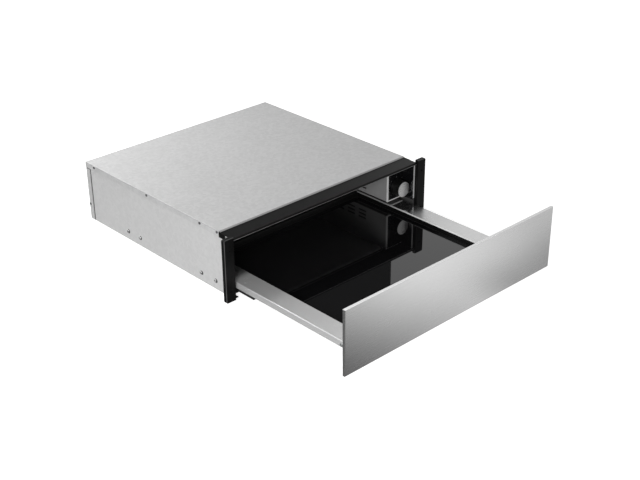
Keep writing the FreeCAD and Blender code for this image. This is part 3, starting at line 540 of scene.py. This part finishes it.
fold_foot = 50 * mm           # the walls' front folds get no painted shade above this
ring_radius = 4.9 * mm
ring_shift = 1.9 * mm


def rivet_shadow_rings(zinc):
    """Painted shadow round each rivet head, mostly on its front side."""
    rings = 0.0
    for y in rivet_rows:
        back = zinc.along(1) - (y - ring_shift)
        up = zinc.along(2) - runner_height
        rings = zinc.below(back * back + up * up, ring_radius ** 2) + rings
    return rings


def wall_shade_and_seam(zinc):
    """Painted shade on the inner faces, except on the front folds above fold_foot; the dark seam at
    the rear panel; painted shadow rings round the rivets.
    """
    inner = zinc.below(zinc.off_centre(), wall_face - 0.6 * mm)
    seam = zinc.above(zinc.along(1), wrap_start)
    fold = zinc.below(zinc.along(1), front_fold) * zinc.above(zinc.along(2), fold_foot)
    return inner * (1 - fold) + (1 - inner) * (seam + rivet_shadow_rings(zinc))


def housing_shade_behind_hem(zinc):
    """Painted shade on the housing behind its front fold; the fold keeps the bright zinc colour as a
    painted highlight.
    """
    return zinc.above(zinc.along(1), hem_end)


zinc_cover = galvanised_finish("galvanised_cover", 0.53, 0.68, 0.20, cover_edge_shade, 0.30)
paint(zinc_cover, "top_cover", "rear_panel")
zinc_walls = galvanised_finish("galvanised_walls", 0.56, 0.66, 0.15, wall_shade_and_seam, 0.06)
paint(zinc_walls, "left_side_wall", "right_side_wall")
zinc_plain = galvanised_finish("galvanised_plain", 0.53, 0.68, 0.20)
paint(zinc_plain, "casing_base", "left_runner_bracket", "right_runner_bracket", "fan_mount")
# The housing's zinc is painted bright as a highlight on its front fold, with painted shade behind it.
zinc_housing = galvanised_finish("galvanised_housing", 0.80, 0.88, 0.15, housing_shade_behind_hem, 0.30)
paint(zinc_housing, "control_housing")

# %% [markdown]
# ## Black powder coat
#
# The front frame is painted.  Powder paint has a fine orange peel, so its reflections are broken
# by shallow bumps under a millimetre wide, and the paint is a very dark grey rather than black.
# A lighter grey is painted along some sharp edges of the strip and the flanges, as a painted
# highlight.

# %% Make the painted finishes
def powder_coat(name, highlight_mask=None, sheen=0.15):
    """Black paint; the optional mask gives how much painted highlight, a lighter grey, a spot has."""
    coat = Finish(name, Metallic=0.0, Specular_IOR_Level=sheen)
    peel = coat.noise(1500.0, 1.0)
    dust = coat.noise(60.0, 4.0)
    skin = coat.between(dust, 0.003, 0.007)
    if highlight_mask:
        skin = coat.between(highlight_mask(coat) * (0.5 + dust), skin, 0.25)
    coat.colour(skin)
    coat.roughness(0.30 + 0.10 * dust)
    coat.bump(peel, 0.00003, 0.4)
    return coat


strip_front = -2.5 * mm
strip_foot = 132.5 * mm
flange_front = -8.0 * mm
flange_side = 287.6 * mm
flange_top = 142.2 * mm


def strip_edge_highlight(coat):
    """Painted highlight along the bottom edge of the strip's front face."""
    high = coat.smooth(coat.along(2), strip_foot, strip_foot + 0.7 * mm)
    return (1 - high) * coat.below(coat.along(1), strip_front)


def flange_edge_highlight(coat):
    """Painted highlight along the outer and top edges of a flange's face."""
    outer = coat.smooth(coat.off_centre(), flange_side - 0.6 * mm, flange_side)
    top = coat.smooth(coat.along(2), flange_top - 0.6 * mm, flange_top)
    edge = coat.math_of("MAXIMUM", outer, top)
    return edge * coat.below(coat.along(1), flange_front) * 0.3


black_paint = powder_coat("black_powder_coat")
paint(black_paint, "front_sill")
flange_paint = powder_coat("flange_powder_coat", flange_edge_highlight, 0.11)
paint(flange_paint, "left_fixing_flange", "right_fixing_flange")
strip_paint = powder_coat("strip_powder_coat", strip_edge_highlight, 0.10)
paint(strip_paint, "front_top_bar")

# %% [markdown]
# ## Enamelled liner
#
# The heated cavity is lined with enamel, which is rougher than the frame.  The walls are nearly
# black, which hides grease, and the ceiling is grey, so that it spreads the heat evenly.

# %% Make the liner finish
def enamel_finish(name, dark, light):
    """Fired enamel with fine speckles and slow clouds of smoke."""
    enamel = Finish(name, Metallic=0.0)
    speckle = enamel.cells(900.0)
    smoke = enamel.noise(14.0, 3.0)
    enamel.colour(enamel.between(speckle * 0.5 + smoke * 0.5, dark, light))
    enamel.roughness(0.45 + 0.15 * smoke)
    enamel.bump(speckle, 0.00002, 0.3)
    return enamel


dark_enamel = enamel_finish("dark_enamel", 0.010, 0.022)
paint(dark_enamel, "cavity_left_liner", "cavity_rear_liner", "heater_bracket")
grey_enamel = enamel_finish("grey_enamel", 0.40, 0.50)
paint(grey_enamel, "cavity_ceiling")

# %% [markdown]
# ## Satin steel of the tray
#
# The tray rails are stainless with a short grain along their length.  Stretching a noise thirty
# times along Y turns its blobs into hair-fine scratches.  Under the grain the steel is almost
# polished, so its upright faces mirror the glass and the dark frame.  Towards their rear ends
# the rails are smoother and carry painted shade, so in the casing's mouth they mirror the black
# frame.  The drops beside the glass are painted black as a dark reflection, and the rolled edges
# above them carry a painted highlight.

# %% Make the tray steel
def grained_steel(name, dark, light, stretch, low, spread, scale, depth, polished=None):
    """Brushed steel; stretch draws the grain out, and the scratches add spread to its gloss.
    polished turns the place into how far the grain is polished away there."""
    steel = Finish(name, Metallic=1.0)
    scratches = steel.noise(scale, 3.0, 0.6, stretch)
    long_scratches = steel.noise(scale * 0.3, 2.0, 0.5, stretch)
    handling = steel.noise(11.0, 3.0)
    tone = scratches * 0.6 + long_scratches * 0.2 + handling * 0.2
    steel.skin = steel.between(tone, dark, light)
    steel.colour(steel.skin)
    dullness = low + spread * scratches + 0.05 * handling
    grain = scratches * 0.7 + long_scratches * 0.3
    if polished:
        shade_and_polish = polished(steel)
        dullness = dullness * (1 - 0.6 * shade_and_polish)
        grain = grain * (1 - shade_and_polish)
    steel.roughness(dullness)
    steel.bump(grain, depth)
    return steel


dark_drop_side = 214.4 * mm        # the rails' drops, painted black as a dark reflection, lie inside this
dark_drop_top = 36.2 * mm
roll_inside = 213.2 * mm      # the side rails' edges are rolled between these
roll_outside = 215.5 * mm
rear_shade_start = -54 * mm       # behind this the rails get painted shade and turn smoother
rear_shade_full = -20 * mm
left_shift = 52 * mm          # on the left both lie this much further back
highlight_fade_start = -60 * mm         # behind this the painted highlight on the rolled edges fades to painted shade
highlight_fade_full = 50 * mm


def rear_shade_and_polish(steel):
    """How far a rail's rear end is polished and darkened by painted shade; the left one has this over
    less of its length.
    """
    left = steel.below(steel.along(0), 0.0)
    return steel.smooth(steel.along(1) - left * left_shift, rear_shade_start, rear_shade_full)


def finish_rails(steel):
    """Painted dark reflection on the drops beside the glass, a painted highlight on the rolled edge
    above it that fades to painted shade towards the rear, and painted shade with polish on the rear
    ends.
    """
    side = steel.off_centre()
    height = steel.along(2)
    drop = steel.below(side, dark_drop_side) * steel.below(height, dark_drop_top)
    rolled = steel.above(side, roll_inside) * steel.below(side, roll_outside)
    rolled = rolled * steel.above(height, dark_drop_top)
    shade_and_polish = rear_shade_and_polish(steel)
    skin = steel.between(shade_and_polish, steel.skin, 0.42)
    skin = steel.between(drop, skin, 0.005)
    roll = steel.between(steel.smooth(steel.along(1), highlight_fade_start, highlight_fade_full), 0.85, 0.26)
    steel.colour(steel.between(rolled, skin, roll))
    steel.metallic((1 - drop) * (1 - rolled) * (0.5 + 0.45 * shade_and_polish))


lengthwise = (1.0, 0.03, 1.0)
tray_steel = grained_steel("tray_satin_steel", dark=0.50, light=0.66, stretch=lengthwise,
                           low=0.22, spread=0.10, scale=900.0, depth=0.00002)
paint(tray_steel, "tray_pan", "left_panel_bracket", "right_panel_bracket", "panel_backing")
rail_steel = grained_steel("rail_satin_steel", dark=0.64, light=0.76, stretch=lengthwise,
                           low=0.20, spread=0.06, scale=2600.0, depth=0.00016,
                           polished=rear_shade_and_polish)
finish_rails(rail_steel)
paint(rail_steel, "left_tray_rail", "right_tray_rail", "front_tray_rail")
paint(black_paint, "rear_tray_rail")

# %% [markdown]
# ## Brushed drawer front
#
# The front is brushed along its width by an abrasive belt, which leaves long fine lines.  They
# run on for longer than those on the tray, and slow changes in the belt's pressure make faint
# bands.

# %% Make the brushed front
def top_edge_highlight(steel, top):
    """Painted highlight: the edge on top of the sheet is painted near-white and not metallic, so it
    is brighter than the face.
    """
    edge = steel.above(steel.along(2), top)
    steel.colour(steel.between(edge, steel.skin, 0.97))
    steel.metallic(1 - edge)


crosswise = (0.015, 1.0, 1.0)
front_edge = 139.6 * mm
brushed_front = grained_steel("brushed_front_steel", dark=0.60, light=0.72, stretch=crosswise,
                              low=0.20, spread=0.08, scale=2000.0, depth=0.000008)
top_edge_highlight(brushed_front, front_edge)
paint(brushed_front, "front_panel")

# %% [markdown]
# ## Black glass
#
# The drawer's floor is toughened glass, painted black underneath, so it behaves as a black
# mirror.  Its gloss comes from the shader: a dark base, almost no roughness and glass's index
# of refraction.  Faint wiping marks change the roughness very slightly.

# %% Make the glass and the glossy trim
black_glass = Finish("black_glass_pane", Metallic=0.0, IOR=1.5)
wiping = black_glass.noise(30.0, 4.0, 0.6, (1.0, 0.35, 1.0))
black_glass.colour(black_glass.between(wiping, (0.0042, 0.0042, 0.0046), (0.0058, 0.0058, 0.0064)))
black_glass.roughness(0.008 + 0.015 * wiping)
paint(black_glass, "glass_base")

gloss_trim = Finish("gloss_black_trim", Metallic=0.0, IOR=1.5)
film = gloss_trim.noise(45.0, 3.0)
gloss_trim.colour(gloss_trim.between(film, (0.004, 0.004, 0.0045), (0.007, 0.007, 0.008)))
gloss_trim.roughness(0.03 + 0.05 * film)
paint(gloss_trim, "control_fascia", "control_side_cheek")

# %% [markdown]
# ## Moulded plastic, rubber and small metals
#
# Hidden and half-hidden pieces get finishes of their own too, because the drawer can be seen
# from any side.  Moulded plastic has a spark-eroded grain, rubber is duller, zinc-plated
# fixings have a faint bluish cast, and the fixed and middle members of the runners are black.

# %% Make the small finishes
def moulded(name, dark, light, low, specular=0.5):
    """Plastic, rubber or ink between two greys; low is its least roughness."""
    plastic = Finish(name, Metallic=0.0, Specular_IOR_Level=specular)
    grain = plastic.noise(2200.0, 2.0, 0.6)
    flow = plastic.noise(35.0, 2.0)
    plastic.colour(plastic.between(grain * 0.5 + flow * 0.5, dark, light))
    plastic.roughness(low + 0.15 * grain)
    plastic.bump(grain, 0.00003, 0.5)
    return plastic


def plated(name, dark, light, low):
    """A small metal part between two colours, with a faint bloom on it."""
    metal = Finish(name, Metallic=0.95)
    bloom = metal.noise(400.0, 3.0)
    tarnish = metal.noise(80.0, 2.0)
    metal.colour(metal.between(bloom * 0.5 + tarnish * 0.5, dark, light))
    metal.roughness(low + 0.15 * bloom)
    metal.bump(bloom, 0.00001, 0.4)
    return metal


black_plastic = moulded("black_moulding", 0.012, 0.028, 0.38)
paint(black_plastic, "thermostat_body", "terminal_block", "cable_gland", "fan_impeller",
      "push_latch_body")
knob_plastic = moulded("knob_moulding", 0.003, 0.006, 0.30, specular=0.25)
paint(knob_plastic, "knob_body")
latch_nylon = moulded("latch_nylon", (0.62, 0.62, 0.58), (0.74, 0.74, 0.70), 0.40)
paint(latch_nylon, "latch_plunger")
seal_rubber = moulded("seal_rubber", 0.004, 0.008, 0.60, specular=0.2)
paint(seal_rubber, "glass_seal", "panel_buffers")
zinc_plate = plated("zinc_plate", (0.42, 0.43, 0.43), (0.56, 0.57, 0.57), 0.28)
paint(zinc_plate, "runner_screws", "adjusting_bolts", "left_runner_inner", "right_runner_inner",
      "left_outer_ball_cage", "right_outer_ball_cage", "left_inner_ball_cage",
      "right_inner_ball_cage", "latch_strike")
rivet_metal = plated("rivet_aluminium", 0.56, 0.70, 0.12)
paint(rivet_metal, "runner_rivet_heads")
dark_zinc = plated("dark_zinc_plate", (0.14, 0.14, 0.145), (0.22, 0.22, 0.225), 0.30)
paint(dark_zinc, "cover_screw_heads", "rear_screw_heads")
copper = plated("copper_capillary", (0.50, 0.24, 0.15), (0.66, 0.36, 0.25), 0.28)
paint(copper, "sensor_bulb")
element_steel = plated("heater_sheath", (0.16, 0.14, 0.12), (0.30, 0.28, 0.26), 0.42)
paint(element_steel, "heating_element")
motor_iron = plated("motor_laminations", (0.22, 0.22, 0.23), (0.34, 0.34, 0.35), 0.44)
paint(motor_iron, "fan_motor")
runner_paint = moulded("runner_black_paint", 0.012, 0.030, 0.30)
paint(runner_paint, "left_runner_outer", "right_runner_outer", "left_runner_middle",
      "right_runner_middle")
mark_ink = moulded("mark_ink", 0.10, 0.14, 0.50)
paint(mark_ink, "dial_marks")

# %% [markdown]
# ## Turned aluminium
#
# The knob's face is turned on a lathe, so its fine lines are rings round the knob's axis.  The
# distance from the axis drives a sine, which makes the rings.

# %% Make the turned finish
def turned_metal(name, centre, pitch, dark, light):
    """Lathe rings round an axis along Y."""
    metal = Finish(name, Metallic=1.0)
    sideways = metal.along(0) - centre.x
    upwards = metal.along(2) - centre.z
    squared = sideways * sideways + upwards * upwards
    distance = metal.math_of("POWER", squared, 0.5)
    rings = metal.math_of("SINE", distance * (2 * math.pi / pitch)) * 0.5 + 0.5
    streaks = metal.noise(700.0, 3.0)
    metal.colour(metal.between(rings * 0.5 + streaks * 0.5, dark, light))
    metal.roughness(0.24 + 0.10 * rings + 0.06 * streaks)
    metal.bump(rings, 0.000008, 0.5)
    return metal


knob_metal = turned_metal("turned_aluminium", knob_axis, 0.5 * mm, 0.72, 0.90)
paint(knob_metal, "knob_disc")
shaft_metal = plated("shaft_steel", 0.55, 0.68, 0.30)
paint(shaft_metal, "thermostat_shaft")

# %% [markdown]
# ## Mineral wool
#
# The pads behind the liners are pressed glass fibre, yellow and matte, with a fibrous grain that
# runs along the pad.  Their front ends are faced with black fleece, which holds the fibres in.

# %% Make the wool
wool = Finish("wool_fibre", Metallic=0.0)
fibres = wool.noise(500.0, 5.0, 0.7, (0.3, 0.3, 1.6))
clumps = wool.noise(40.0, 3.0)
fleece_end = 50.5 * mm
fleece = wool.below(wool.along(1), fleece_end)
fibre_colour = wool.between(fibres * 0.6 + clumps * 0.4, (0.52, 0.42, 0.18), (0.80, 0.72, 0.45))
wool.colour(wool.between(fleece, fibre_colour, 0.012))
wool.roughness(0.85 + 0.1 * fibres)
wool.bump(fibres, 0.0006, 0.8)
paint(wool, "cavity_insulation")

# %% [markdown]
# ## The floor
#
# The floor is white.  A white floor lit by soft lamps would never be quite white in the picture,
# so its material adds a little light of its own that only the camera and mirror-like surfaces
# see.  The object's shadow on the floor is kept.  What mirrors see of the floor carries painted
# shade: it fades close to the drawer's front, as where an object shades the ground that it stands
# on, and towards the left.

# %% Build the floor
def painted_floor_reflection(sheet):
    """Painted shade in what mirrors see of the floor: dim on the left and close under the drawer's
    front.
    """
    in_front = sheet.along(1) * -1
    sideways = sheet.along(0)
    ahead = 0.72 + 0.28 * sheet.smooth(in_front, 0.35, 0.55)
    close = 1 - sheet.smooth(in_front, 0.35, 0.58)
    left = 0.22 + 0.88 * sheet.smooth(sideways, -0.35, 0.12)
    right = 1 - 0.3 * sheet.smooth(sideways, 0.18, 0.5)
    corner = 1 - 0.40 * close * close * sheet.smooth(sideways, 0.06, 0.22)
    return ahead * left * right * corner


def white_floor(size, height):
    clear_selection()
    bpy.ops.mesh.primitive_plane_add(size=size, location=(0, 0, height))
    floor = bpy.context.active_object
    floor.name = "studio_floor"
    sheet = Finish("studio_floor", Base_Color=(0.80, 0.80, 0.80, 1), Roughness=0.9)
    path = sheet.add("ShaderNodeLightPath")
    camera_ray = Value(sheet, path.outputs["Is Camera Ray"])
    glow = sheet.add("ShaderNodeEmission", {}, {"Color": (1, 1, 1, 1), "Strength": camera_ray * 0.78})
    lit = sheet.add("ShaderNodeAddShader", {}, {0: sheet.shader.outputs[0], 1: glow.outputs[0]})
    mirrored = sheet.add("ShaderNodeEmission", {}, {"Color": (1, 1, 1, 1),
                         "Strength": painted_floor_reflection(sheet)})
    seen = sheet.add("ShaderNodeMixShader", {}, {0: path.outputs["Is Glossy Ray"],
                     1: lit.outputs[0], 2: mirrored.outputs[0]})
    output = sheet.tree.nodes["Material Output"]
    sheet.tree.links.new(seen.outputs[0], output.inputs["Surface"])
    floor.data.materials.append(sheet.material)


white_floor(30.0, -0.0005)

# %% [markdown]
# ## A dark card
#
# Photographers stand a black card beside a shiny object, so that part of it mirrors something
# dark and its edges read.  Ours hangs far behind the appliance, and only mirrors see it.

# %% Build the dark card
def studio_card(corner, direction, length, height, brightness):
    """An upright card that runs from a lower corner along a level direction."""
    clear_selection()
    bpy.ops.mesh.primitive_grid_add(x_subdivisions=4, y_subdivisions=4, size=1.0)
    card = bpy.context.active_object
    card.name = "studio_card"
    along = Vector(direction).normalized()
    upright = Vector((0, 0, 1))
    turn = Matrix((along * length, upright * height, along.cross(upright))).transposed().to_4x4()
    middle = Vector(corner) + along * (length / 2) + upright * (height / 2)
    card.matrix_world = Matrix.Translation(middle) @ turn
    card.visible_camera = False
    card.visible_diffuse = False
    card.visible_shadow = False
    cloth = Finish("card_cloth", Base_Color=(0.02, 0.02, 0.02, 1), Roughness=1.0)
    weave = cloth.noise(8.0)
    cloth.feed(cloth.shader.inputs["Emission Color"], cloth.between(weave, 0.9, 1.0))
    cloth.feed(cloth.shader.inputs["Emission Strength"], brightness)
    card.data.materials.append(cloth.material)


studio_card((2.125, 1.805, 1.1), (-0.686, 0.728, 0.0), 3.2, 1.2, 0.06)

# %% [markdown]
# ## World and lamps
#
# The world is white to the camera, to glossy rays and through glass, and a plain soft grey to
# everything else.  One soft lamp hangs behind the rear left corner, so the cover is brightest
# there.  The other stands in front on the left, lights the side wall and reaches into the cavity.

# %% Build the world and the lamps
def white_world(soft_strength):
    world = bpy.data.worlds.new("studio")
    world.use_nodes = True
    world.node_tree.nodes.clear()
    sky = Network(world.node_tree)
    path = sky.add("ShaderNodeLightPath")
    direct = sky.math_of("MAXIMUM", path.outputs["Is Camera Ray"], path.outputs["Is Glossy Ray"])
    seen = sky.math_of("MAXIMUM", direct, path.outputs["Is Transmission Ray"])
    glow = sky.add("ShaderNodeBackground", {}, {"Color": (1, 1, 1, 1),
                   "Strength": seen * (1 - soft_strength) + soft_strength})
    sky.add("ShaderNodeOutputWorld", {}, {"Surface": glow.outputs[0]})
    bpy.context.scene.world = world


def soft_lamp(name, position, target, size, watts):
    data = bpy.data.lights.new(name, "AREA")
    data.shape = "DISK"
    data.size = size
    data.energy = watts
    lamp = bpy.data.objects.new(name, data)
    bpy.context.scene.collection.objects.link(lamp)
    lamp.location = position
    lamp.rotation_euler = (Vector(target) - Vector(position)).to_track_quat("-Z", "Y").to_euler()


white_world(0.32)
soft_lamp("key_lamp", (-0.36, 0.95, 0.85), (-0.1, 0.3, 0.1), 0.5, 6.7)
soft_lamp("fill_lamp", (-1.35, -0.95, 0.6), (-0.2, 0.0, 0.08), 0.7, 18.5)
bpy.context.scene.view_settings.view_transform = "Standard"
